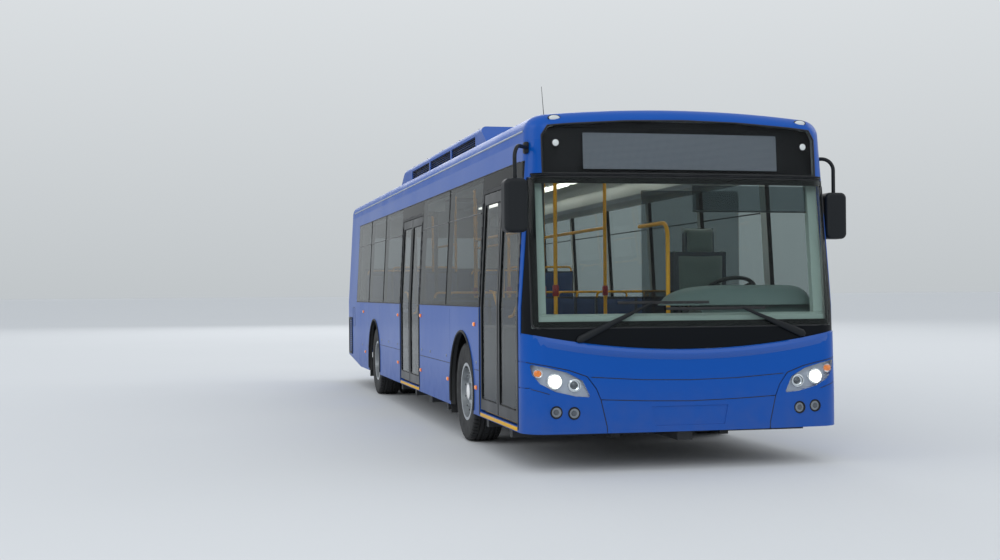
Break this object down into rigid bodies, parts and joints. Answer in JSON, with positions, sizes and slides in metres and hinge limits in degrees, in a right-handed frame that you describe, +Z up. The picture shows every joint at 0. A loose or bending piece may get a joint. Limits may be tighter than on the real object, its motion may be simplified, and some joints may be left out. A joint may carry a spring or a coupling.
{
  "type": "city bus",
  "caption": "Blue low-floor city bus with two glazed inward-gliding double doors, a roof air-conditioning unit, turning wheels, steering and a lifting engine door",
  "frame": {"origin": "on the ground below the middle of the bus's length and width", "axes": "+X to the bus's left, driver's side; +Y to its tail; +Z up"},
  "size_m": [2.86, 11.6046, 2.985],
  "materials": {
    "body_paint": "glossy blue coach paint",
    "roof_paint": "glossy blue coach paint",
    "window_glass": "grey tinted safety glass",
    "lamp_lens": "clear lens",
    "red_lens": "red lens",
    "floor_vinyl": "grey floor covering",
    "chassis_steel": "black chassis paint",
    "cast_parts": "dark cast iron",
    "bellows_rubber": "black rubber",
    "black_plastic": "grained black plastic",
    "seat_plastic": "moulded seat shells",
    "seat_fabric": "woven seat cover",
    "yellow_rail": "yellow powder coat",
    "grey_plastic": "grained grey plastic",
    "tyre_rubber": "worn black tyre rubber",
    "rim_silver": "silver painted steel",
    "black_aluminium": "black powder coated aluminium"
  },
  "bodies": {
    "bus_body": {"side_wall_right": "body_paint", "side_wall_left": "body_paint", "side_glass": "window_glass", "roof_shell": "roof_paint", "front_panel": "body_paint", "front_bumper": "body_paint", "front_glass": "window_glass", "front_lamps": "lamp_lens", "rear_panel": "body_paint", "rear_bumper": "body_paint", "rear_window": "window_glass", "rear_lamps": "red_lens", "roof_pod": "body_paint", "floor": "floor_vinyl", "floor_boxes": "floor_vinyl", "chassis_frame": "chassis_steel", "cross_members": "chassis_steel", "front_axle_beam": "cast_parts", "rear_axle": "cast_parts", "air_springs": "bellows_rubber", "engine_block": "cast_parts", "mirrors": "black_plastic", "wipers": "black_plastic", "passenger_seats": "seat_plastic", "handrails": "yellow_rail", "driver_seat": "seat_fabric", "dashboard": "grey_plastic", "cab_partition": "grey_plastic", "door_headers": "grey_plastic"},
    "steering_wheel_body": {"steering_wheel": "black_plastic"},
    "engine_door_body": {"engine_door": "body_paint"},
    "knuckle_left_body": {"knuckle_left": "cast_parts"},
    "front_wheel_left": {"front_tyre_left": "tyre_rubber", "front_rim_left": "rim_silver"},
    "rear_wheels_left": {"rear_tyres_left": "tyre_rubber", "rear_rims_left": "rim_silver"},
    "knuckle_right_body": {"knuckle_right": "cast_parts"},
    "front_wheel_right": {"front_tyre_right": "tyre_rubber", "front_rim_right": "rim_silver"},
    "rear_wheels_right": {"rear_tyres_right": "tyre_rubber", "rear_rims_right": "rim_silver"},
    "front_door_post_fore_body": {"front_door_post_fore": "chassis_steel"},
    "front_door_leaf_fore_body": {"front_door_leaf_fore": "black_aluminium"},
    "front_door_post_aft_body": {"front_door_post_aft": "chassis_steel"},
    "front_door_leaf_aft_body": {"front_door_leaf_aft": "black_aluminium"},
    "middle_door_post_fore_body": {"middle_door_post_fore": "chassis_steel"},
    "middle_door_leaf_fore_body": {"middle_door_leaf_fore": "black_aluminium"},
    "middle_door_post_aft_body": {"middle_door_post_aft": "chassis_steel"},
    "middle_door_leaf_aft_body": {"middle_door_leaf_aft": "black_aluminium"}
  },
  "joints": [
    {"name": "steer_left", "type": "hinge", "parent": "bus_body", "child": "knuckle_left_body", "pos_m": [0.93, -3.34, 0.4475], "axis": [0, 0, 1], "range_deg": [-45, 45]},
    {"name": "steer_right", "type": "hinge", "parent": "bus_body", "child": "knuckle_right_body", "pos_m": [-0.93, -3.34, 0.4475], "axis": [0, 0, 1], "range_deg": [-45, 45]},
    {"name": "steering_wheel_turn", "type": "hinge", "parent": "bus_body", "child": "steering_wheel_body", "pos_m": [0.68, -4.9, 1.325], "axis": [0, 0.5736, 0.8192], "range_deg": [-720, 720]},
    {"name": "front_wheel_left_spin", "type": "hinge", "parent": "knuckle_left_body", "child": "front_wheel_left", "pos_m": [1.1035, -3.34, 0.4475], "axis": [1, 0, 0], "continuous": true},
    {"name": "rear_wheels_left_spin", "type": "hinge", "parent": "bus_body", "child": "rear_wheels_left", "pos_m": [0.946, 2.66, 0.4475], "axis": [1, 0, 0], "continuous": true},
    {"name": "front_wheel_right_spin", "type": "hinge", "parent": "knuckle_right_body", "child": "front_wheel_right", "pos_m": [-1.1035, -3.34, 0.4475], "axis": [1, 0, 0], "continuous": true},
    {"name": "rear_wheels_right_spin", "type": "hinge", "parent": "bus_body", "child": "rear_wheels_right", "pos_m": [-0.946, 2.66, 0.4475], "axis": [1, 0, 0], "continuous": true},
    {"name": "front_door_open_fore", "type": "hinge", "parent": "bus_body", "child": "front_door_post_fore_body", "pos_m": [-1.08, -5.52, 1.2], "axis": [0, 0, -1], "range_deg": [0, 90]},
    {"name": "front_door_glide_fore", "type": "hinge", "parent": "front_door_post_fore_body", "child": "front_door_leaf_fore_body", "pos_m": [-1.19, -5.272, 1.2], "axis": [0, 0, -1], "range_deg": [-180, 0]},
    {"name": "front_door_open_aft", "type": "hinge", "parent": "bus_body", "child": "front_door_post_aft_body", "pos_m": [-1.08, -4.128, 1.2], "axis": [0, 0, 1], "range_deg": [0, 90]},
    {"name": "front_door_glide_aft", "type": "hinge", "parent": "front_door_post_aft_body", "child": "front_door_leaf_aft_body", "pos_m": [-1.19, -4.376, 1.2], "axis": [0, 0, 1], "range_deg": [-180, 0]},
    {"name": "middle_door_open_fore", "type": "hinge", "parent": "bus_body", "child": "middle_door_post_fore_body", "pos_m": [-1.08, -1.007, 1.2], "axis": [0, 0, -1], "range_deg": [0, 90]},
    {"name": "middle_door_glide_fore", "type": "hinge", "parent": "middle_door_post_fore_body", "child": "middle_door_leaf_fore_body", "pos_m": [-1.19, -0.759, 1.2], "axis": [0, 0, -1], "range_deg": [-180, 0]},
    {"name": "middle_door_open_aft", "type": "hinge", "parent": "bus_body", "child": "middle_door_post_aft_body", "pos_m": [-1.08, 0.36, 1.2], "axis": [0, 0, 1], "range_deg": [0, 90]},
    {"name": "middle_door_glide_aft", "type": "hinge", "parent": "middle_door_post_aft_body", "child": "middle_door_leaf_aft_body", "pos_m": [-1.19, 0.112, 1.2], "axis": [0, 0, 1], "range_deg": [-180, 0]},
    {"name": "engine_door_lift", "type": "hinge", "parent": "bus_body", "child": "engine_door_body", "pos_m": [0, 5.7966, 1.333], "axis": [1, 0, 0], "range_deg": [0, 80]}
  ],
  "couplings": [
    {"joint": "steer_right", "follows": "steer_left", "ratio": 1},
    {"joint": "steering_wheel_turn", "follows": "steer_left", "ratio": 16},
    {"joint": "front_door_glide_fore", "follows": "front_door_open_fore", "ratio": -2},
    {"joint": "front_door_glide_aft", "follows": "front_door_open_aft", "ratio": -2},
    {"joint": "middle_door_glide_fore", "follows": "middle_door_open_fore", "ratio": -2},
    {"joint": "middle_door_glide_aft", "follows": "middle_door_open_aft", "ratio": -2}
  ]
}
